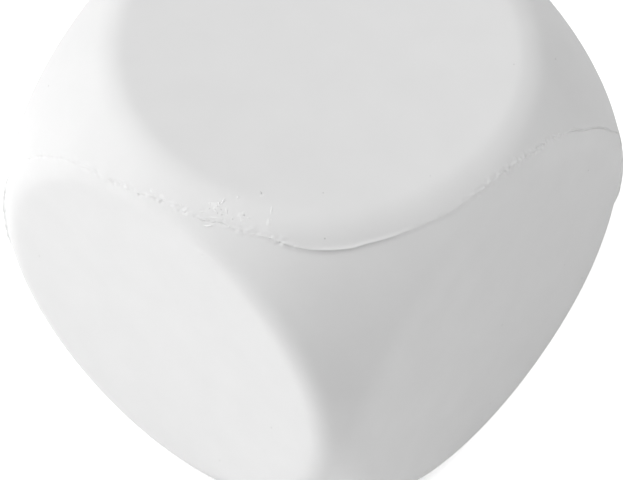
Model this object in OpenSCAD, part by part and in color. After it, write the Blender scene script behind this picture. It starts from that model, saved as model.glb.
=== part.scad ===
// Blank foam die with ball-shaped edges and flat round faces.
// It is moulded in two halves of three faces each, which meet on a wavy parting line.
// The origin is the middle of the bottom face, and +Z is up.

/* [Die] */
// Distance between opposite faces
face_span = 90; // [70:1:150]
// Diameter of the flat round field on each face
face_flat_d = 72.5; // [56:0.5:80]
// Radius of the soft rim between a flat field and the ball-shaped edges
rim_r = 8.5; // [3:0.5:12]

/* [Skin] */
// Thickness of the coating skin over the foam
skin_t = 1.2; // [0.6:0.1:2.5]

/* [Parting line] */
// Rise and fall of the parting line along the mould axis, once for each face
parting_wave = 9.3; // [4:0.1:14]
// Slower sway of the line, because the mould halves were fitted to each other by hand
parting_sway = 1.5; // [0:0.1:3]
// Place of the sway's crest round the mould axis, in degrees
sway_turn = 74; // [0:1:180]
// Distance of the line's middle below the die's middle, along the mould axis
parting_drop = 0.7; // [0:0.1:2]
// Thickness of the foam web between the two skins
flash_t = 0.6; // [0.3:0.1:1.5]
// Height of the trimmed web above the skins
flash_proud = 0.4; // [0.1:0.1:1]

/* [Vents] */
// Number of trimmed foam stubs in a row above the parting line
vent_count = 3; // [1:1:8]
// Diameter of a stub
vent_d = 1.6; // [0.8:0.1:2.4]
// Distance from one stub to the next along the parting line
vent_pitch = 5; // [3:0.5:8]
// Strip of skin between the stubs and the foam web
vent_gap = 2.4; // [0.4:0.1:4]
// Height of a trimmed stub above the skin
vent_proud = 0.4; // [0.1:0.1:1]
// Place of the middle stub round the mould axis, in degrees
vent_turn = 163; // [0:1:360]

/* [Hidden] */
$fn = 96;

half_span = face_span / 2;
flat_r = face_flat_d / 2;
// Height of the rim's centre line above the die's centre
rim_z = half_span - rim_r;
// Radius of the ball that rounds the edges and corners, tangent to every rim
ball_r = rim_r + norm([flat_r, rim_z]);
// Size of the cutters, well past the die
reach = 2 * ball_r;
// Depth of the parting cut to each side of the ball's surface, past the skin and what stands on it
cut_depth = 3 * max(skin_t, flash_proud, vent_proud);
// Depth of a vent below the ball's surface, past the skin where a rim falls away
vent_depth = rim_r + skin_t;
// Overlap of neighbouring faces' shares of the die, so that they join into one
share_lap = 0.1;
// Turns that bring the top face to each of the six faces
face_turns = [[0, 0, 0], [180, 0, 0], [90, 0, 0], [-90, 0, 0], [0, 90, 0], [0, -90, 0]];

// The mould opens along the line between two opposite corners of the die
mould_tilt = acos(1 / sqrt(3));
mould_turn = 135;
// Each mould half holds three faces, so the parting line has three crests and three troughs
crests = 3;
parting_steps = 48;

skin_colour = [0.90, 0.90, 0.90];
foam_colour = [0.87, 0.86, 0.83];

// Angle at the die's centre of a length on the ball
function turn_of(length) = asin(length / ball_r);

// Latitude of the parting line above the mould's equator
function parting_lat(turn) =
    let (sway = parting_sway * cos(2 * (turn - sway_turn)))
    turn_of(parting_wave * cos(crests * turn) + sway - parting_drop);

function polar(radius, turn, lat) =
    radius * [cos(lat) * cos(turn), cos(lat) * sin(turn), sin(lat)];

// Turns local Z to the mould axis, with the die's centre as the origin
module mould_frame() {
    translate([0, 0, half_span])
        rotate([0, mould_tilt, mould_turn])
            children();
}

// Half outline of the die from the middle of a face down to its waist
module face_outline(grow) {
    past_rim = reach * [flat_r, rim_z] / rim_z;
    intersection() {
        square(reach);
        union() {
            square([flat_r, half_span + grow]);
            translate([flat_r, rim_z])
                circle(rim_r + grow);
            intersection() {
                circle(ball_r + grow);
                polygon([[0, 0], past_rim, [reach, 0]]);
            }
        }
    }
}

// The share of the die that belongs to its top face, from the centre out to just past the face's edges
module face_share() {
    corners = [[1, 1, 1], [-1, 1, 1], [-1, -1, 1], [1, -1, 1]];
    translate([0, 0, -share_lap])
        polyhedron(
            concat([[0, 0, 0]], reach * corners),
            [[0, 1, 2], [0, 2, 3], [0, 3, 4], [0, 4, 1], [4, 3, 2, 1]]
        );
}

// Spins an outline round the middle of each face and joins the six shares
module on_six_faces() {
    translate([0, 0, half_span])
        for (turn = face_turns)
            rotate(turn)
                intersection() {
                    rotate_extrude()
                        children();
                    face_share();
                }
}

// Everything on the lower side of the parting line, raised by a shift along the ball
module below_parting(shift) {
    n = parting_steps;
    steps = [0 : n - 1];
    turns = [for (i = steps) 360 * i / n];
    lats = [for (turn = turns) parting_lat(turn) + turn_of(shift)];
    inner = [for (i = steps) polar(ball_r - cut_depth, turns[i], lats[i])];
    outer = [for (i = steps) polar(ball_r + cut_depth, turns[i], lats[i])];
    foot = [for (turn = turns) [reach * cos(turn), reach * sin(turn), -reach]];
    hub = 3 * n;
    heel = hub + 1;
    sides = [
        for (i = steps)
            let (j = (i + 1) % n)
            each [
                [hub, j, i],
                [i, j, j + n, i + n],
                [i + n, j + n, j + 2 * n],
                [i + n, j + 2 * n, i + 2 * n],
                [heel, i + 2 * n, j + 2 * n]
            ]
    ];
    mould_frame()
        polyhedron(concat(inner, outer, foot, [[0, 0, 0], [0, 0, -reach]]), sides);
}

// A row of pins along the upper side of the parting line, each square to the ball
module vent_pins() {
    middle = (vent_count - 1) / 2;
    rise = flash_t / 2 + vent_gap + vent_d / 2;
    mould_frame()
        for (i = [0 : vent_count - 1]) {
            turn = vent_turn + (i - middle) * turn_of(vent_pitch);
            rotate([0, 90 - parting_lat(turn) - turn_of(rise), turn])
                translate([0, 0, ball_r - vent_depth])
                    cylinder(d = vent_d, h = vent_depth + cut_depth);
        }
}

// The die's skin before it is parted, with its outside raised
module die_shell(proud = 0) {
    on_six_faces()
        difference() {
            face_outline(proud);
            face_outline(-skin_t);
        }
}

module foam_core() {
    color(foam_colour)
        on_six_faces()
            face_outline(-skin_t);
}

module upper_skin() {
    color(skin_colour)
        difference() {
            die_shell();
            below_parting(flash_t / 2);
            vent_pins();
        }
}

module lower_skin() {
    color(skin_colour)
        intersection() {
            die_shell();
            below_parting(-flash_t / 2);
        }
}

module parting_flash() {
    color(foam_colour)
        difference() {
            intersection() {
                die_shell(flash_proud);
                below_parting(flash_t / 2);
            }
            below_parting(-flash_t / 2);
        }
}

module vent_stubs() {
    color(foam_colour)
        intersection() {
            die_shell(vent_proud);
            vent_pins();
        }
}

foam_core();
upper_skin();
lower_skin();
parting_flash();
vent_stubs();
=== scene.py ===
import math

import bpy
import numpy as np
from mathutils import Matrix, Vector


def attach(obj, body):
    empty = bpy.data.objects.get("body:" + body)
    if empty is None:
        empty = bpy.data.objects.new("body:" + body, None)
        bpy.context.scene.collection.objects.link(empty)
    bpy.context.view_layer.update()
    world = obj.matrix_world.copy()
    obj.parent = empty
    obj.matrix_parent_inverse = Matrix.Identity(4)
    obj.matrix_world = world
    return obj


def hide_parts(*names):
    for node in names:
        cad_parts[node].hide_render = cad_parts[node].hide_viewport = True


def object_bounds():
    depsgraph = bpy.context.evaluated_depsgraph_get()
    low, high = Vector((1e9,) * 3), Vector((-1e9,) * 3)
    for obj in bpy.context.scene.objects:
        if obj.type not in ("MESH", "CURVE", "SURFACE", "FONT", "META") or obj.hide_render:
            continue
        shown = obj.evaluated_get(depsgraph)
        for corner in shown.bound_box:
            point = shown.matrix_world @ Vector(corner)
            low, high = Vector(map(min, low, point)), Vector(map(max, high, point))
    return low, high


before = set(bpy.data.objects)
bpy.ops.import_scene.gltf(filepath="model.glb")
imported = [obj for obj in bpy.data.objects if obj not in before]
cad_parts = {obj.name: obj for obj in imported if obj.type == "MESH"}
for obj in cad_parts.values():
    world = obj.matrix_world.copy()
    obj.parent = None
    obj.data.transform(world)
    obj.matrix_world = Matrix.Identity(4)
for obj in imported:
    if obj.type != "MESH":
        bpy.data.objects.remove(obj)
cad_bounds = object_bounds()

# The die's shape, as the part has it. Lengths are in millimetres and points are taken from its centre.
MM = 0.001
FACE_SPAN = (cad_bounds[1][0] - cad_bounds[0][0]) / MM
HALF_SPAN = FACE_SPAN / 2
FLAT_R = 36.25
RIM_R = 8.5
SKIN_T = 1.2
RIM_Z = HALF_SPAN - RIM_R
BALL_R = RIM_R + math.hypot(FLAT_R, RIM_Z)
CENTRE = np.array([0, 0, HALF_SPAN])
# Guards against dividing by zero: a ray's least part along a face's axis, and the square of it across
LEAST_UP = 1e-6
LEAST_OUT = 1e-12
# Distance on the ball from the mould's equator to its pole
POLE_DISTANCE = BALL_R * math.pi / 2

# The mould opens along a corner-to-corner line, and turns are counted round it.
MOULD_AXIS = np.array([-1, 1, 1]) / math.sqrt(3)
MOULD_EAST = np.array([-1, 1, -2]) / math.sqrt(6)
MOULD_NORTH = np.cross(MOULD_AXIS, MOULD_EAST)
# Smooth course of the parting line, as the part has it
PARTING_WAVE = 9.3
PARTING_SWAY = 1.5
SWAY_TURN = 74.0
PARTING_DROP = 0.7
CRESTS = 3
SWAYS = 2

# How far the line that was cut by hand strays from that course: turn in degrees, millimetres
STRAY = [
    (10, 0.3), (40, -0.4), (66, -1.0), (76, -3.0), (82, -3.0), (86, -2.2), (90, -0.8), (94, 0.5), (98, 1.2),
    (102, 1.5), (107, 1.1), (113, 0.4), (124, 0.25), (131, -0.2), (136, -0.6), (140, -0.8), (143.7, -0.6),
    (146.2, 0.3), (148, -0.1), (150, 0.15), (153, 0.3), (156, -0.1), (157.7, 0.4), (159.5, 0.8), (161, 0.75),
    (162, 0.55), (165, 0.8), (167.6, 0.7), (169.4, 0.3), (172, -0.2), (175, -0.45), (181, -0.4), (185, 0.0),
    (195, 0.2), (199, 0.0), (204, 0.5), (210, 1.0), (215, 0.9), (220, 0.6), (224, 0.4), (229, -0.3),
    (235, -1.25), (243, -1.25), (248, -1.0), (256, 0.5), (260, 0.8), (264, -0.6), (268, -1.8), (273, -2.6),
    (280, -2.2), (292, -0.5), (310, 0.4), (335, -0.5),
]

# How the line was trimmed, at turns in degrees: height of the crest where the skins meet, the upper
# skin's thin lip on it, gap between the skins, height of the flash in the gap, and how ragged all is.
TRIM = [
    (5, 0.18, 0.08, 0.01, 0.00, 0.1),
    (25, 0.10, 0.02, 0.02, 0.00, 0.6),
    (45, 0.04, 0.03, 0.02, 0.03, 1.0),
    (60, 0.06, 0.02, 0.06, 0.05, 0.8),
    (68, 0.05, 0.00, 0.20, 0.20, 0.6),
    (78, 0.04, 0.00, 0.50, 0.40, 0.5),
    (91, 0.04, 0.00, 0.50, 0.40, 0.5),
    (97, 0.04, 0.00, 0.30, 0.25, 0.4),
    (101, 0.04, 0.00, 0.05, 0.04, 0.3),
    (106, 0.10, 0.00, 0.01, 0.00, 0.1),
    (112, 0.24, 0.04, 0.00, 0.00, 0.2),
    (118, 0.36, 0.12, 0.00, 0.00, 0.3),
    (133, 0.36, 0.12, 0.00, 0.00, 0.3),
    (136, 0.26, 0.10, 0.00, 0.00, 0.25),
    (139, 0.10, 0.02, 0.01, 0.00, 0.5),
    (150, 0.03, 0.00, 0.00, 0.00, 0.5),
    (154.5, 0.03, 0.00, 0.00, 0.00, 0.4),
    (156, 0.03, 0.00, 0.16, -0.05, 0.2),
    (160.5, 0.03, 0.00, 0.12, -0.04, 0.3),
    (162.5, 0.04, 0.00, 0.00, 0.00, 0.4),
    (166, 0.08, 0.00, 0.00, 0.00, 0.4),
    (168, 0.18, 0.03, 0.01, 0.00, 0.5),
    (171, 0.22, 0.05, 0.02, 0.00, 0.4),
    (174, 0.22, 0.07, 0.01, 0.00, 0.1),
    (178, 0.18, 0.18, 0.01, 0.00, 0.05),
    (183, 0.17, 0.20, 0.01, 0.00, 0.05),
    (188, 0.17, 0.18, 0.01, 0.00, 0.05),
    (191, 0.17, 0.12, 0.01, 0.00, 0.1),
    (193, 0.18, 0.02, 0.01, 0.00, 0.1),
    (200, 0.18, 0.02, 0.01, 0.00, 0.2),
    (206, 0.16, 0.02, 0.02, 0.00, 0.7),
    (212, 0.10, 0.04, 0.02, 0.03, 1.0),
    (222, 0.03, 0.04, 0.02, 0.03, 1.0),
    (227, 0.03, 0.01, 0.03, 0.00, 0.6),
    (230, 0.03, 0.00, 0.28, -0.06, 0.1),
    (246, 0.03, 0.00, 0.28, -0.06, 0.1),
    (250, 0.02, 0.02, 0.04, 0.00, 0.2),
    (256, 0.20, 0.00, 0.03, 0.05, 0.2),
    (270, 0.24, 0.00, 0.03, 0.08, 0.3),
    (282, 0.04, 0.00, 0.08, 0.08, 0.4),
    (300, 0.20, 0.10, 0.01, 0.00, 0.1),
    (318, 0.16, 0.04, 0.01, 0.00, 0.2),
    (330, 0.06, 0.03, 0.02, 0.03, 1.0),
    (345, 0.06, 0.00, 0.10, -0.10, 0.4),
]
# Widths of the crest's soft swelling, of the upper skin's lip, and of a ramp up to it
CREST_W = 3.0
LIP_W = 0.42
RAMP_W = 3.6
# Form of the crest, at turns in degrees: width of the lower skin's fall from it, and how much the
# upper skin is a ramp and not a soft swelling
CREST_FORM = [
    (104, 0.7, 0.0), (112, 1.2, 0.0), (132, 1.2, 0.0), (138, 0.7, 0.0), (164, 0.7, 0.0),
    (170, 0.6, 0.4), (175, 0.6, 1.0), (204, 0.6, 1.0), (214, 0.5, 0.0), (222, 0.7, 0.0),
]
# Radius of the skins' edges where no gap parts them. A gap adds half its width.
LEAST_ROUND = 0.006
# Ragged strip beside the line: its width, and the height and size of its bumps
RAGGED_W = 0.9
RAGGED_BUMP = 0.085
RAGGED_GRAIN = 1.3
# How far a ragged edge wanders, and the longest and shortest waves of that
EDGE_JITTER = 0.08
EDGE_WAVES = (6.0, 0.9)
# Distance from the line past which its trimming no longer shows
NEAR_LINE = 12.0

# Web of foam in the gap: its top is torn where the line is ragged, and by a share of its own height,
# in long and short waves.
TEAR = 0.03
FIN_TEAR = 0.25
TEAR_WAVES = (9.0, 2.0)
FINE_TEAR_WAVES = (2.0, 0.5)
# It leans by a share of its height, and its top is as wide as a share of its foot.
WEB_LEAN = 0.3
LEAN_WAVES = (7.0, 1.2)
WEB_TOP = 0.7
# How far its foot reaches past the gap, and its root past the foot, to each side
FOOT_LAP = 0.01
ROOT_LAP = 0.10
# Depth of the foot under the crest, and of the root's top and bottom under the foot
FOOT_DEPTH = 0.2
ROOT_TOP = 0.1
ROOT_BOTTOM = 0.6

# The mould halves didn't sit quite on each other, so beside the line the upper and the lower skin
# stand out or back: turn in degrees, upper, lower. It fades over a width from the line.
MISMATCH = [
    (70, 0.0, 0.0), (88, -0.35, 0.0), (98, -0.40, 0.0), (108, 0.0, 0.0),
    (245, 0.0, 0.0), (256, 0.15, -0.05), (268, 0.10, -0.40), (280, 0.0, -0.40), (300, 0.0, 0.0),
]
MISMATCH_W = 10.0

# Torn foam beside the line, where the trimming knife pulled: its middle, its size, and the height and
# size of its bumps
SCAR_TURN = 160.0
SCAR_RISE = 3.0
SCAR_TURN_W = 7.0
SCAR_RISE_W = 3.0
SCAR_BUMP = 0.012
SCAR_GRAIN = 1.5

# Slow unevenness of the moulded faces
WAVE_LENGTH = 26.0
WAVE_HEIGHT = 0.008

# Noise: the most waves round the line, the waves in space, and the spread of their wave numbers
RING_WAVES = 90
SPACE_WAVES = 28
SPACE_SPREAD = (0.6, 1.5)

# Seeds of the random draws
WAVE_SEED = 1
RAGGED_SEED = 2
SCAR_SEED = 3
EDGE_SEED = 10
TEAR_SEED = 20
FINE_TEAR_SEED = 21
LEAN_SEED = 22
VENT_SEED = 40
MARK_SEED = 60
CELL_SEED = 90

# Mesh of a skin: vertices in the ring at the parting line, and the fewest that a ring comes down to
RING_COUNT = 3840
LEAST_RING = 15
# Spacing in the rings of its outside: in a fine strip beside the line, in a middle strip, and past both
FINE_STRIP = 1.5
FINE_SPACING = 0.06
MIDDLE_STRIP = 6.0
MIDDLE_SPACING = 0.15
WIDE_SPACING = 0.5
# Steps from ring to ring of its outside: the first one, its growth, and the largest one
FIRST_STEP = 0.04
STEP_GROWTH = 1.15
LARGEST_STEP = 0.7
# Steps from ring to ring of its inside, with some finer ones at the line, and spacing in those rings
INNER_STEP = 2.0
INNER_FINE_STEP = 0.4
INNER_FINE_ROWS = 5
INNER_SPACING = 1.2

# Mesh of the foam core: vertices in a ring, rings, and latitude of the last ring in degrees
CORE_COUNT = 240
CORE_ROWS = 119
CORE_LAT = 88.5

# Vent stubs as the part has them
VENT_COUNT = 3
VENT_D = 1.6
VENT_PITCH = 5.0
VENT_RISE = 3.5
VENT_TURN = 163.0
# Their torn tops: width as a share of the length, height, spin from one to the next, and crater
VENT_NARROW = 0.8
VENT_H = 0.09
VENT_SPIN = 35
VENT_CRATER = 0.5

# How deep a torn mark sits in the skin, and how far its rim is sunk
NUB_DEPTH = 0.3
NUB_SINK = 0.004
# Its mesh: vertices in a ring, rings as shares of its size, and the share that stands for its middle
NUB_COUNT = 24
NUB_SHARES = [1.0, 0.9, 0.75, 0.6, 0.45, 0.3, 0.15]
NUB_MIDDLE = 0.01
# Width of its crater as a share of its size
CRATER_W = 0.4
# Waves round its outline and its ridges, each a count and a height, and the largest phase of a wave
NUB_OUTLINE = [(3, 0.16), (5, 0.12)]
NUB_RIDGES = [(2, 0.20), (5, 0.10)]
LARGEST_PHASE = 6.0

# Torn marks by the scar: turn, rise above the line's smooth course, half length, half width, height,
# spin, and crater as a share of the height
TORN_MARKS = [
    (139.8, -0.60, 0.55, 0.16, 0.10, -60, 0.0),
    (140.9, -1.40, 0.40, 0.18, 0.09, -50, 0.0),
    (143.7, -0.65, 0.30, 0.26, 0.11, 0, 0.0),
    (164.3, 3.35, 0.35, 0.22, 0.08, -35, 0.0),
    (146.8, 1.20, 0.60, 0.45, 0.05, -56, 0.0),
    (148.8, 0.90, 1.00, 0.45, 0.05, -45, 0.0),
    (152.4, 1.10, 0.45, 0.22, 0.04, -3, 0.9),
    (153.0, 0.05, 0.75, 0.70, 0.08, 0, 1.0),
    (157.8, 1.10, 2.60, 0.26, 0.06, -6, 0.0),
    (157.1, -0.65, 1.05, 0.30, 0.12, -3, 0.0),
    (157.0, 2.10, 0.45, 0.40, 0.09, 0, 0.9),
    (158.4, 2.80, 0.80, 0.24, 0.12, -54, 0.0),
    (159.2, 4.20, 0.55, 0.20, 0.10, -53, 0.0),
    (159.9, 4.85, 0.95, 0.22, 0.11, 61, 0.0),
    (160.5, 3.40, 1.00, 0.27, 0.08, -88, 0.0),
    (160.8, 0.65, 0.32, 0.28, 0.07, 8, 0.0),
    (162.4, 6.45, 0.28, 0.28, 0.07, 0, 0.0),
    (165.2, 0.75, 0.85, 0.17, 0.06, -12, 0.0),
    (166.6, 0.75, 0.70, 0.15, 0.04, -23, 0.0),
    (166.5, 8.05, 0.50, 0.42, 0.08, -30, 0.8),
    (167.7, 0.70, 0.32, 0.27, 0.07, -30, 0.0),
    (168.2, 5.70, 0.80, 0.22, 0.06, -97, 0.0),
    (154.5, -7.20, 0.50, 0.20, 0.05, 3, 0.0),
    (225.5, 0.60, 0.92, 0.22, 0.08, 11, 0.0),
    (225.4, 0.15, 0.75, 0.18, 0.06, 10, 0.0),
    (157.6, 3.40, 0.50, 0.17, 0.09, -60, 0.0),
    (158.8, 3.60, 0.42, 0.16, 0.09, -30, 0.0),
    (159.6, 2.50, 0.45, 0.17, 0.08, -75, 0.0),
    (161.4, 2.30, 0.36, 0.22, 0.07, 20, 0.0),
    (156.2, 1.50, 0.60, 0.18, 0.07, -10, 0.0),
    (163.0, 2.60, 0.40, 0.30, 0.06, 40, 0.7),
]

# Torn open cells of the foam, drawn as low lumps with the shade inside them painted dark: turn, rise, half
# length, half width, height, spin
OPEN_CELLS = [
    (153.00, 0.15, 0.27, 0.25, 0.02, 0),
    (152.40, 1.12, 0.32, 0.13, 0.02, 0),
    (158.40, 2.90, 0.16, 0.15, 0.09, 0),
    (159.50, 3.20, 0.18, 0.15, 0.09, 30),
    (163.45, 3.60, 0.24, 0.17, 0.10, -30),
    (166.30, 8.45, 0.38, 0.12, 0.06, -60),
    (169.40, 0.35, 0.22, 0.16, 0.04, 60),
    (158.90, 2.40, 0.15, 0.13, 0.10, 0),
    (157.50, 2.65, 0.14, 0.12, 0.08, 0),
]

# Camera, fitted to the photograph: angles in degrees, distance from the die's centre, focal length in
# pixels, and the pixel where the centre appears
VIEW_TURN = 51.99
VIEW_LIFT = 53.08
VIEW_ROLL = 2.48
VIEW_DISTANCE = 667.1
FOCAL_PIXELS = 3431.0
PICTURE_PIXELS = (640, 480)
CENTRE_PIXEL = (314.45, 193.30)
SENSOR_W = 36.0

# Soft studio lights: the way to each from the die, its distance and width in metres, and its level,
# which is how bright it alone makes a white face that is turned to it
LIGHTS = [
    ("low_left", (-0.789, -0.582, 0.195), 0.9, 0.25, 0.412),
    ("high_left", (-0.641, -0.327, 0.694), 2.4, 1.3, 0.554),
    ("top", (0.316, 0.454, 0.833), 1.2, 0.6, 0.534),
    ("front_right", (0.573, -0.817, 0.060), 2.4, 0.30, 0.300),
]
# Strength of the even light from all round, and of the white background
AMBIENT = 0.02
BACKDROP = 1.0

# Floor: width in metres, tone, roughness, and the glow that lifts it to white for the camera
FLOOR_SIZE = 6.0
FLOOR_TONE = 0.9
FLOOR_ROUGHNESS = 0.9
FLOOR_GLOW = 0.54

# Detail of a noise, and the range of it that is spread over two tones or two roughnesses
NOISE_DETAIL = 3.0
NOISE_RANGE = (0.3, 0.7)

# Coating skin: tones, roughness and sheen, and the grain of its mottling and of its roughness
SKIN_TONES = (0.792, 0.808)
SKIN_ROUGHNESS = (0.62, 0.74)
SKIN_SHEEN = 0.05
MOTTLE_GRAIN = 9.0
ROUGHNESS_GRAIN = 5.0
# Its pinholes: how close they lie, their edge as shares of the space between them, and the tone of the shade
# painted into them
PITS_PER_METRE = 140.0
PIT_EDGE = (0.014, 0.030)
PIT_SHADE_TONE = 0.58
# Its orange peel
PEEL_GRAIN = 0.9
PEEL_DETAIL = 2.0
PEEL_STRENGTH = 0.25
PEEL_DEPTH = 0.03

# Bare foam: dark tone, light tone and size of the cells
TRIMMED_FOAM = (0.80, 0.86, 0.5)
INNER_FOAM = (0.72, 0.80, 0.7)
# Open cells: a foam tone darkened with painted shade, for the shade inside the torn cells
OPEN_CELL_SHADE_FOAM = (0.62, 0.70, 0.3)
# Its mottling as a multiple of the cells' size, the bump of the cells, roughness and sheen
FOAM_MOTTLE = 3
CELL_STRENGTH = 0.5
CELL_DEPTH = 0.08
FOAM_ROUGHNESS = (0.75, 0.9)
FOAM_SHEEN = 0.2


def die_surface(rays):
    """Where unit rays from the die's centre leave the die, and its outward normals there."""
    reach = np.full(len(rays), np.inf)
    normals = rays.copy()
    for axis in range(3):
        up = np.abs(rays[:, axis])
        face = np.zeros_like(rays)
        face[:, axis] = np.sign(rays[:, axis])
        out = np.sqrt(np.maximum(1 - up**2, LEAST_OUT))
        radial = (rays - face * up[:, None]) / out[:, None]
        along = out * FLAT_R + up * RIM_Z
        rim = along + np.sqrt(np.maximum(along**2 - FLAT_R**2 - RIM_Z**2 + RIM_R**2, 0))
        rim_normal = radial * (rim * out - FLAT_R)[:, None] + face * (rim * up - RIM_Z)[:, None]
        on_flat = out * HALF_SPAN <= up * FLAT_R
        on_ball = out * RIM_Z >= up * FLAT_R
        flat = HALF_SPAN / np.maximum(up, LEAST_UP)
        here = np.where(on_flat, flat, np.where(on_ball, BALL_R, rim))
        normal = np.where(on_flat[:, None], face, np.where(on_ball[:, None], rays, rim_normal / RIM_R))
        nearer = here < reach
        reach = np.where(nearer, here, reach)
        normals = np.where(nearer[:, None], normal, normals)
    return rays * reach[:, None], normals


def mould_rays(turns, lats):
    """Unit rays from the die's centre at turns and latitudes round the mould axis, in radians."""
    level = np.cos(lats)
    east = np.outer(level * np.cos(turns), MOULD_EAST)
    north = np.outer(level * np.sin(turns), MOULD_NORTH)
    return east + north + np.outer(np.sin(lats), MOULD_AXIS)


def at_turns(stations, turns):
    """Columns of a list of stations at turns in radians, eased from one station to the next."""
    table = np.array(stations, dtype=float)
    before, after = table[-1:].copy(), table[:1].copy()
    before[:, 0] -= 360
    after[:, 0] += 360
    table = np.vstack([before, table, after])
    degrees = np.degrees(turns) % 360
    index = np.searchsorted(table[:, 0], degrees, side="right")
    low, high = table[index - 1], table[index]
    share = (degrees - low[:, 0]) / (high[:, 0] - low[:, 0])
    ease = (share**2 * (3 - 2 * share))[:, None]
    return (low + ease * (high - low))[:, 1:].T


def smooth_lat(turns):
    """Latitude of the parting line's smooth course."""
    wave = PARTING_WAVE * np.cos(CRESTS * turns)
    sway = PARTING_SWAY * np.cos(SWAYS * (turns - math.radians(SWAY_TURN)))
    return np.arcsin((wave + sway - PARTING_DROP) / BALL_R)


def parting_lat(turns):
    """Latitude of the parting line as it was cut."""
    return smooth_lat(turns) + at_turns(STRAY, turns)[0] / BALL_R


def full_turn(count):
    """Angles spread evenly over a full turn, in radians."""
    return np.arange(count) * 2 * math.pi / count


def ring_noise(seed, turns, longest, shortest):
    """Noise round the parting line between two wavelengths in millimetres, about -2 to 2."""
    random = np.random.default_rng(seed)
    girth = 2 * math.pi * BALL_R
    waves = np.arange(int(girth / longest), int(girth / shortest) + 1)
    waves = random.choice(waves, min(len(waves), RING_WAVES), replace=False)
    phases = random.uniform(0, 2 * math.pi, len(waves))
    total = np.zeros(len(turns))
    for wave, phase in zip(waves, phases):
        total += np.cos(wave * turns + phase)
    return total / math.sqrt(len(waves) / 2)


def space_noise(seed, points, length):
    """Noise in space of about one wavelength in millimetres, about -2 to 2."""
    random = np.random.default_rng(seed)
    ways = random.normal(size=(SPACE_WAVES, 3))
    ways /= np.linalg.norm(ways, axis=1)[:, None]
    ways *= (2 * math.pi / length * random.uniform(*SPACE_SPREAD, SPACE_WAVES))[:, None]
    phases = random.uniform(0, 2 * math.pi, SPACE_WAVES)
    return np.cos(points @ ways.T + phases).sum(axis=1) / math.sqrt(SPACE_WAVES / 2)


def edge_jitter(turns):
    """How far the line's ragged edges wander from their course, in millimetres."""
    ragged = at_turns(TRIM, turns)[-1]
    return EDGE_JITTER * ragged * ring_noise(EDGE_SEED, turns, *EDGE_WAVES)


def round_over(distance, radius):
    """How far a skin's edge of a radius falls away at a distance from it."""
    inside = np.clip(1 - distance / radius, 0, 1)
    return radius * (1 - np.sqrt(1 - inside**2))


def scar_share(turns, rise):
    """How strongly the torn scar shows, from 0 to 1."""
    along = (np.degrees(turns) - SCAR_TURN) / SCAR_TURN_W
    across = (rise - SCAR_RISE) / SCAR_RISE_W
    return np.exp(-along**2 - across**2)


def skin_relief(side, turns, distance, points):
    """Height of the skins' surface above the plain die, at a distance from an edge on a side of it."""
    crest, lip, gap, _, ragged = at_turns(TRIM, turns)
    above, below = at_turns(MISMATCH, turns)
    upper = np.asarray(side) > 0
    relief = -WAVE_HEIGHT * np.maximum(1 - space_noise(WAVE_SEED, points, WAVE_LENGTH) / 2, 0)
    relief += np.where(upper, above, below) * np.exp(-(distance / MISMATCH_W)**2)
    if np.min(distance) > NEAR_LINE:
        return relief
    fall, ramp = at_turns(CREST_FORM, turns)
    swelling = (1 - ramp) * np.exp(-(distance / CREST_W)**2)
    rise = swelling + ramp * np.clip(1 - distance / RAMP_W, 0, 1)**2
    relief += crest * np.where(upper, rise, np.exp(-(distance / fall)**2))
    relief += np.where(upper, lip, 0) * np.exp(-(distance / LIP_W)**2)
    relief -= round_over(distance, LEAST_ROUND + gap / 2)
    beside = np.exp(-(distance / RAGGED_W)**2)
    relief += RAGGED_BUMP * ragged * beside * space_noise(RAGGED_SEED, points, RAGGED_GRAIN)
    torn = np.where(upper, SCAR_BUMP, 0) * scar_share(turns, distance)
    return relief + torn * space_noise(SCAR_SEED, points, SCAR_GRAIN)


def on_skin(turns, lats):
    """Points on the skins at turns and latitudes, and the normals of the plain die there."""
    points, normals = die_surface(mould_rays(turns, lats))
    edge = parting_lat(turns)
    side = np.where(lats > edge, 1, -1)
    distance = POLE_DISTANCE * (lats - edge) / (side * math.pi / 2 - edge)
    return points + normals * skin_relief(side, turns, distance, points)[:, None], normals


def skin_row(side, distance, count, depth):
    """One ring of a skin's vertices at a distance from its edge, on its outside or a depth under it."""
    turns = full_turn(count)
    _, _, gap, _, _ = at_turns(TRIM, turns)
    jitter = edge_jitter(turns) * math.exp(-distance)
    edge = parting_lat(turns) + (side * gap / 2 + jitter) / BALL_R
    share = distance / POLE_DISTANCE
    lats = edge * (1 - share) + side * share * math.pi / 2
    points, normals = die_surface(mould_rays(turns, lats))
    if depth:
        return points - normals * depth
    return points + normals * skin_relief(side, turns, distance, points)[:, None]


def ring_counts(distances, spacing_at):
    """Vertices in each ring, halved wherever a ring's vertices come closer than the spacing."""
    counts = [RING_COUNT]
    for distance in distances[1:]:
        count = counts[-1]
        spacing = 2 * math.pi * BALL_R * math.cos(distance / BALL_R) / count
        if spacing < spacing_at(distance) and count > LEAST_RING:
            count //= 2
        counts.append(count)
    return counts


def outer_rows():
    """Distances of the outside's rings from the edge, close together beside it."""
    rows = [0.0]
    step = FIRST_STEP
    while rows[-1] + LARGEST_STEP < POLE_DISTANCE:
        rows.append(rows[-1] + step)
        step = min(step * STEP_GROWTH, LARGEST_STEP)
    return rows[:-1]


def inner_rows():
    """Distances of the inside's rings from the edge."""
    near = [i * INNER_FINE_STEP for i in range(INNER_FINE_ROWS)]
    far = np.arange(near[-1] + INNER_STEP, POLE_DISTANCE - INNER_STEP / 2, INNER_STEP)
    return near + far.tolist()


def pole(side, depth):
    """The one vertex of a skin on the mould axis."""
    points, normals = die_surface(np.array([side * MOULD_AXIS]))
    return points - normals * depth


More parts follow.
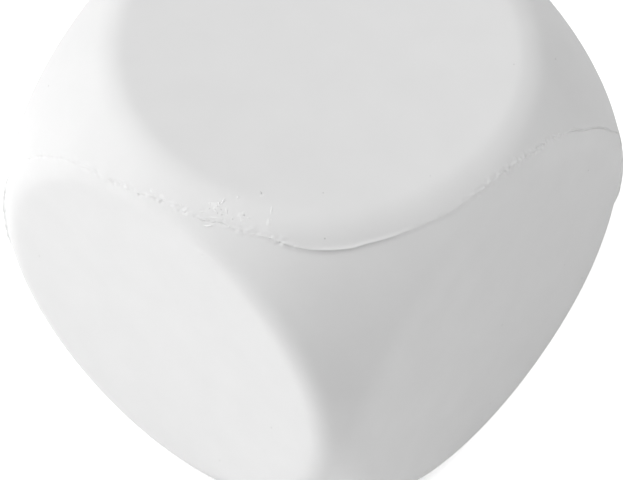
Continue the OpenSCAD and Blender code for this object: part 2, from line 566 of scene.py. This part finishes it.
def stitch(first, n, second, m):
    """Faces between two rings of n and m vertices, where m is n, half or twice n, or one is a pole."""
    if m == 2 * n:
        return [face[::-1] for face in stitch(second, m, first, n)]
    i = np.arange(max(n, m) if 1 in (n, m) else m)
    j = (i + 1) % len(i)
    if m == 1:
        return np.column_stack([first + i, first + j, second + 0 * i]).tolist()
    if n == 1:
        return np.column_stack([second + j, second + i, first + 0 * i]).tolist()
    if n == m:
        return np.column_stack([first + i, first + j, second + j, second + i]).tolist()
    middle = first + 2 * i + 1
    left = np.column_stack([first + 2 * i, middle, second + i]).tolist()
    centre = np.column_stack([middle, second + j, second + i]).tolist()
    right = np.column_stack([middle, first + 2 * j, second + j]).tolist()
    return left + centre + right


def loft(rings):
    """Vertices and faces of a surface through rings of points."""
    starts = np.cumsum([0] + [len(ring) for ring in rings])
    faces = []
    for k in range(len(rings) - 1):
        faces += stitch(starts[k], len(rings[k]), starts[k + 1], len(rings[k + 1]))
    return np.vstack(rings), faces


def joined(lofts):
    """Several surfaces as one list of vertices and one of faces."""
    points = []
    faces = []
    start = 0
    for some_points, some_faces in lofts:
        faces += [[start + corner for corner in face] for face in some_faces]
        points.append(some_points)
        start += len(some_points)
    return np.vstack(points), faces


def add_piece(name, points, faces, material, node=None):
    """A piece of the die from points in millimetres about its centre, kept inside the die's box."""
    points = np.clip(points, -HALF_SPAN, HALF_SPAN)
    mesh = bpy.data.meshes.new(name)
    mesh.from_pydata(((points + CENTRE) * MM).tolist(), [], faces)
    mesh.shade_smooth()
    mesh.materials.append(material)
    piece = bpy.data.objects.new(name, mesh)
    bpy.context.scene.collection.objects.link(piece)
    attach(piece, "root")
    if node:
        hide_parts(node)
    return piece


def outer_spacing(distance):
    """Least distance between neighbours in a ring of the outside."""
    if distance < FINE_STRIP:
        return FINE_SPACING
    return MIDDLE_SPACING if distance < MIDDLE_STRIP else WIDE_SPACING


def skin_half(name, side, material):
    """A closed skin over three faces: its inside, its edge wall and its trimmed outside."""
    inner = inner_rows()
    outer = outer_rows()
    inner_counts = ring_counts(inner, lambda distance: INNER_SPACING)
    outer_counts = ring_counts(outer, outer_spacing)
    rings = [pole(side, SKIN_T)]
    rings += [skin_row(side, d, n, SKIN_T) for d, n in reversed(list(zip(inner, inner_counts)))]
    rings += [skin_row(side, d, n, 0) for d, n in zip(outer, outer_counts)]
    rings.append(pole(side, 0))
    points, faces = loft(rings)
    if side < 0:
        faces = [face[::-1] for face in faces]
    return add_piece(name + "_surface", points, faces, material, name)


def web_section(turns):
    """Corners of the web's section at turns: how far aside of the line and above the plain die."""
    crest, _, gap, fin, ragged = at_turns(TRIM, turns)
    proud = np.maximum(fin, 0)
    long_tear = ring_noise(TEAR_SEED, turns, *TEAR_WAVES)
    fine_tear = ring_noise(FINE_TEAR_SEED, turns, *FINE_TEAR_WAVES)
    top = crest + fin + (TEAR * ragged + FIN_TEAR * proud) * (long_tear + fine_tear) / 2
    lean = WEB_LEAN * proud * ring_noise(LEAN_SEED, turns, *LEAN_WAVES)
    half = gap / 2 + FOOT_LAP
    root = half + ROOT_LAP
    foot = np.minimum(crest, top) - FOOT_DEPTH
    return [
        (-root, foot - ROOT_BOTTOM),
        (-root, foot - ROOT_TOP),
        (-half, foot),
        (lean - WEB_TOP * half, top),
        (lean + WEB_TOP * half, top),
        (half, foot),
        (root, foot - ROOT_TOP),
        (root, foot - ROOT_BOTTOM),
    ]


def flash_trim(material):
    """The web of foam in the gap between the skins, torn off ragged where it wasn't cut clean."""
    turns = full_turn(RING_COUNT)
    lats = parting_lat(turns) + edge_jitter(turns) / BALL_R
    base, normals = die_surface(mould_rays(turns, lats))
    onward = np.roll(base, -1, axis=0) - np.roll(base, 1, axis=0)
    onward /= np.linalg.norm(onward, axis=1)[:, None]
    aside = np.cross(normals, onward)
    section = web_section(turns)
    strips = [base + aside * side[:, None] + normals * rise[:, None] for side, rise in section]
    starts = np.arange(len(strips)) * RING_COUNT
    faces = []
    for start, following in zip(starts, np.roll(starts, -1)):
        faces += stitch(start, RING_COUNT, following, RING_COUNT)
    points = np.vstack(strips)
    return add_piece("parting_flash_trim", points, faces, material, "parting_flash")


def wobble(random, around, waves):
    """Numbers about 1 round a ring, from waves of a count and a height each."""
    total = np.ones(len(around))
    for count, height in waves:
        total += height * np.cos(count * around + random.uniform(0, LARGEST_PHASE))
    return total


def torn_nub(seed, turn, rise, length, width, height, spin, crater=0.0):
    """A small torn lump of foam on the skin, closed under it: turn and spin are in degrees."""
    random = np.random.default_rng(seed)
    around = full_turn(NUB_COUNT)
    outline = wobble(random, around, NUB_OUTLINE)
    ridges = wobble(random, around, NUB_RIDGES)
    turn0 = math.radians(turn)
    lat0 = smooth_lat(np.array([turn0]))[0] + rise / BALL_R
    slant = math.radians(spin)

    def ring(share, lift):
        """A ring of the lump at a share of its size, lifted off the skin."""
        x = length * share * outline * np.cos(around)
        y = width * share * outline * np.sin(around)
        east = (x * math.cos(slant) - y * math.sin(slant)) / BALL_R / math.cos(lat0)
        north = (x * math.sin(slant) + y * math.cos(slant)) / BALL_R
        points, normals = on_skin(turn0 + east, lat0 + north)
        return points + normals * lift[:, None]

    def middle(lift):
        """The one vertex in the middle of the lump."""
        return ring(NUB_MIDDLE, lift).mean(axis=0)[None]

    under = np.full(NUB_COUNT, -NUB_DEPTH)
    rings = [middle(under), ring(1.0, under)]
    for share in NUB_SHARES:
        swell = height * math.cos(share * math.pi / 2)**2 - NUB_SINK
        dip = crater * height * math.exp(-(share / CRATER_W)**2)
        rings.append(ring(share, swell * ridges - dip))
    rings.append(middle(np.full(NUB_COUNT, height * (1 - crater))))
    return loft(rings)


def vent_nubs(material):
    """The trimmed stubs of foam in the vents."""
    middle = (VENT_COUNT - 1) / 2
    pitch = math.degrees(math.asin(VENT_PITCH / BALL_R))
    radius = VENT_D / 2
    width = VENT_NARROW * radius
    nubs = []
    for i in range(VENT_COUNT):
        turn = VENT_TURN + (i - middle) * pitch
        spin = VENT_SPIN * i
        nubs.append(torn_nub(VENT_SEED + i, turn, VENT_RISE, radius, width, VENT_H, spin, VENT_CRATER))
    points, faces = joined(nubs)
    return add_piece("vent_stub_nubs", points, faces, material, "vent_stubs")


def torn_marks(material):
    """Slivers and crumbs that the trimming left beside the line."""
    nubs = [torn_nub(MARK_SEED + i, *mark) for i, mark in enumerate(TORN_MARKS)]
    points, faces = joined(nubs)
    return add_piece("torn_marks", points, faces, material)


def open_cells_painted_shade(material):
    """Mouths of cells that the trimming tore open, as low lumps of foam painted dark for the shade inside
    them.
    """
    nubs = [torn_nub(CELL_SEED + i, *cell) for i, cell in enumerate(OPEN_CELLS)]
    points, faces = joined(nubs)
    return add_piece("open_cells_painted_shade", points, faces, material)


def foam_core(material):
    """The soft foam inside the skins."""
    turns = full_turn(CORE_COUNT)
    rings = []
    for lat in np.radians(np.linspace(-CORE_LAT, CORE_LAT, CORE_ROWS)):
        points, normals = die_surface(mould_rays(turns, np.full(CORE_COUNT, lat)))
        rings.append(points - normals * SKIN_T)
    points, faces = loft([pole(-1, SKIN_T)] + rings + [pole(1, SKIN_T)])
    return add_piece("foam_core_fill", points, faces, material, "foam_core")


def grey(tone):
    """A grey as a colour."""
    return (tone, tone, tone, 1)


def new_material(name):
    """A material with its node tree, shader and object coordinates."""
    material = bpy.data.materials.new(name)
    material.use_nodes = True
    tree = material.node_tree
    shader = tree.nodes["Principled BSDF"]
    place = tree.nodes.new("ShaderNodeTexCoord")
    return material, tree, shader, place.outputs["Object"]


def noise_at(tree, place, size, detail=NOISE_DETAIL):
    """Noise of a grain size in millimetres."""
    noise = tree.nodes.new("ShaderNodeTexNoise")
    noise.inputs["Scale"].default_value = 1 / (size * MM)
    noise.inputs["Detail"].default_value = detail
    tree.links.new(place, noise.inputs["Vector"])
    return noise.outputs["Fac"]


def mapped(tree, value, low, high, to_low, to_high):
    """A value carried from one range to another."""
    node = tree.nodes.new("ShaderNodeMapRange")
    node.inputs["From Min"].default_value = low
    node.inputs["From Max"].default_value = high
    node.inputs["To Min"].default_value = to_low
    node.inputs["To Max"].default_value = to_high
    tree.links.new(value, node.inputs["Value"])
    return node.outputs["Result"]


def cells_at(tree, place, scale):
    """Distance from the middles of scattered cells, by how many lie along a metre."""
    cells = tree.nodes.new("ShaderNodeTexVoronoi")
    cells.inputs["Scale"].default_value = scale
    tree.links.new(place, cells.inputs["Vector"])
    return cells.outputs["Distance"]


def two_tones(tree, value, dark, light):
    """A grey between two tones, by a noise value."""
    ramp = tree.nodes.new("ShaderNodeValToRGB")
    for element, position, tone in zip(ramp.color_ramp.elements, NOISE_RANGE, (dark, light)):
        element.position = position
        element.color = grey(tone)
    tree.links.new(value, ramp.inputs["Fac"])
    return ramp.outputs["Color"]


def bumped(tree, value, strength, depth):
    """A bump of a depth in millimetres."""
    bump = tree.nodes.new("ShaderNodeBump")
    bump.inputs["Strength"].default_value = strength
    bump.inputs["Distance"].default_value = depth * MM
    tree.links.new(value, bump.inputs["Height"])
    return bump.outputs["Normal"]


def skin_material():
    """White coating skin: matte, with a fine orange peel, faint mottling and a few pinholes with painted
    shade.
    """
    material, tree, shader, place = new_material("skin")
    tone = two_tones(tree, noise_at(tree, place, MOTTLE_GRAIN), *SKIN_TONES)
    # Painted shade: the pinholes have no depth, and darker spots of colour stand for the shade inside them.
    pit_shade_mask = mapped(tree, cells_at(tree, place, PITS_PER_METRE), *PIT_EDGE, 1.0, 0.0)
    shade = tree.nodes.new("ShaderNodeMix")
    shade.data_type = "RGBA"
    shade.inputs["B"].default_value = grey(PIT_SHADE_TONE)
    tree.links.new(pit_shade_mask, shade.inputs["Factor"])
    tree.links.new(tone, shade.inputs["A"])
    tree.links.new(shade.outputs["Result"], shader.inputs["Base Color"])
    rough = mapped(tree, noise_at(tree, place, ROUGHNESS_GRAIN), *NOISE_RANGE, *SKIN_ROUGHNESS)
    tree.links.new(rough, shader.inputs["Roughness"])
    peel = bumped(tree, noise_at(tree, place, PEEL_GRAIN, PEEL_DETAIL), PEEL_STRENGTH, PEEL_DEPTH)
    tree.links.new(peel, shader.inputs["Normal"])
    shader.inputs["Specular IOR Level"].default_value = SKIN_SHEEN
    return material


def foam_material(name, dark, light, grain):
    """Bare foam: rough, with cells of a grain size."""
    material, tree, shader, place = new_material(name)
    tone = two_tones(tree, noise_at(tree, place, FOAM_MOTTLE * grain), dark, light)
    tree.links.new(tone, shader.inputs["Base Color"])
    cells = cells_at(tree, place, 1 / (grain * MM))
    tree.links.new(bumped(tree, cells, CELL_STRENGTH, CELL_DEPTH), shader.inputs["Normal"])
    rough = mapped(tree, noise_at(tree, place, grain), *NOISE_RANGE, *FOAM_ROUGHNESS)
    tree.links.new(rough, shader.inputs["Roughness"])
    shader.inputs["Specular IOR Level"].default_value = FOAM_SHEEN
    return material


def seen_directly(tree):
    """1 for rays that show the background to the camera, also in shiny or clear things."""
    path = tree.nodes.new("ShaderNodeLightPath")
    value = path.outputs["Is Camera Ray"]
    for name in ("Is Glossy Ray", "Is Transmission Ray"):
        larger = tree.nodes.new("ShaderNodeMath")
        larger.operation = "MAXIMUM"
        tree.links.new(value, larger.inputs[0])
        tree.links.new(path.outputs[name], larger.inputs[1])
        value = larger.outputs["Value"]
    return value


def show_two(tree, lighting, shown, output):
    """One shader for the light that a surface gives, and another for what the camera sees of it."""
    mix = tree.nodes.new("ShaderNodeMixShader")
    tree.links.new(seen_directly(tree), mix.inputs["Fac"])
    tree.links.new(lighting, mix.inputs[1])
    tree.links.new(shown, mix.inputs[2])
    tree.links.new(mix.outputs["Shader"], tree.nodes[output].inputs["Surface"])


def floor_material():
    """Pale and dull, with a glow that shows but doesn't light the die."""
    material = bpy.data.materials.new("floor")
    material.use_nodes = True
    tree = material.node_tree
    shader = tree.nodes["Principled BSDF"]
    shader.inputs["Base Color"].default_value = grey(FLOOR_TONE)
    shader.inputs["Roughness"].default_value = FLOOR_ROUGHNESS
    shader.inputs["Specular IOR Level"].default_value = 0.0
    glow = tree.nodes.new("ShaderNodeEmission")
    glow.inputs["Strength"].default_value = FLOOR_GLOW
    both = tree.nodes.new("ShaderNodeAddShader")
    tree.links.new(shader.outputs["BSDF"], both.inputs[0])
    tree.links.new(glow.outputs["Emission"], both.inputs[1])
    show_two(tree, shader.outputs["BSDF"], both.outputs["Shader"], "Material Output")
    return material


def make_floor():
    """Pale floor that shows white where no shadow falls."""
    half = FLOOR_SIZE / 2
    corners = [(-half, -half, 0), (half, -half, 0), (half, half, 0), (-half, half, 0)]
    mesh = bpy.data.meshes.new("floor")
    mesh.from_pydata(corners, [], [(0, 1, 2, 3)])
    floor = bpy.data.objects.new("floor", mesh)
    bpy.context.scene.collection.objects.link(floor)
    mesh.materials.append(floor_material())


def make_world():
    """Even soft light from all round, with a white background."""
    world = bpy.data.worlds.new("studio")
    bpy.context.scene.world = world
    world.use_nodes = True
    tree = world.node_tree
    soft = tree.nodes["Background"]
    white = tree.nodes.new("ShaderNodeBackground")
    for background, strength in ((soft, AMBIENT), (white, BACKDROP)):
        background.inputs["Color"].default_value = grey(1)
        background.inputs["Strength"].default_value = strength
    show_two(tree, soft.outputs["Background"], white.outputs["Background"], "World Output")


def make_light(name, way, distance, width, level):
    """A round soft light that faces the die."""
    way = Vector(way).normalized()
    data = bpy.data.lights.new(name, "AREA")
    data.shape = "DISK"
    data.size = width
    # The power at which a disk at this distance gives its level
    data.energy = level * (math.pi * distance)**2
    light = bpy.data.objects.new(name, data)
    light.location = Vector(CENTRE * MM) + way * distance
    light.rotation_euler = way.to_track_quat("Z", "Y").to_euler()
    bpy.context.scene.collection.objects.link(light)


def make_camera():
    """Long lens from high on the right, rolled a little as in the photograph."""
    turn, lift, roll = (math.radians(angle) for angle in (VIEW_TURN, VIEW_LIFT, VIEW_ROLL))
    back = Vector((math.cos(lift) * math.cos(turn), -math.cos(lift) * math.sin(turn), math.sin(lift)))
    level = Vector((math.sin(turn), math.cos(turn), 0))
    upward = back.cross(level)
    right = level * math.cos(roll) + upward * math.sin(roll)
    above = upward * math.cos(roll) - level * math.sin(roll)
    centre = Vector(CENTRE * MM)
    spot = centre + back * VIEW_DISTANCE * MM
    # The camera aims beside the die's centre, so that it appears at its place in the picture.
    per_pixel = VIEW_DISTANCE * MM / FOCAL_PIXELS
    across = (PICTURE_PIXELS[0] / 2 - CENTRE_PIXEL[0]) * per_pixel
    down = (PICTURE_PIXELS[1] / 2 - CENTRE_PIXEL[1]) * per_pixel
    back = (spot - (centre + right * across - above * down)).normalized()
    right = above.cross(back).normalized()
    above = back.cross(right)
    data = bpy.data.cameras.new("camera")
    data.sensor_fit = "HORIZONTAL"
    data.sensor_width = SENSOR_W
    data.lens = SENSOR_W * FOCAL_PIXELS / PICTURE_PIXELS[0]
    camera = bpy.data.objects.new("camera", data)
    camera.matrix_world = Matrix((
        (right.x, above.x, back.x, spot.x),
        (right.y, above.y, back.y, spot.y),
        (right.z, above.z, back.z, spot.z),
        (0, 0, 0, 1),
    ))
    bpy.context.scene.collection.objects.link(camera)
    bpy.context.scene.camera = camera


def build_die():
    """All pieces of the die."""
    skin = skin_material()
    trimmed = foam_material("trimmed_foam", *TRIMMED_FOAM)
    foam = foam_material("foam", *INNER_FOAM)
    skin_half("upper_skin", 1, skin)
    skin_half("lower_skin", -1, skin)
    flash_trim(trimmed)
    vent_nubs(trimmed)
    torn_marks(trimmed)
    # The open cells take a foam tone darkened with painted shade.
    open_cells_painted_shade(foam_material("open_cells_painted_shade", *OPEN_CELL_SHADE_FOAM))
    foam_core(foam)


build_die()
make_floor()
make_world()
for light in LIGHTS:
    make_light(*light)
make_camera()
bpy.context.scene.view_settings.view_transform = "Standard"
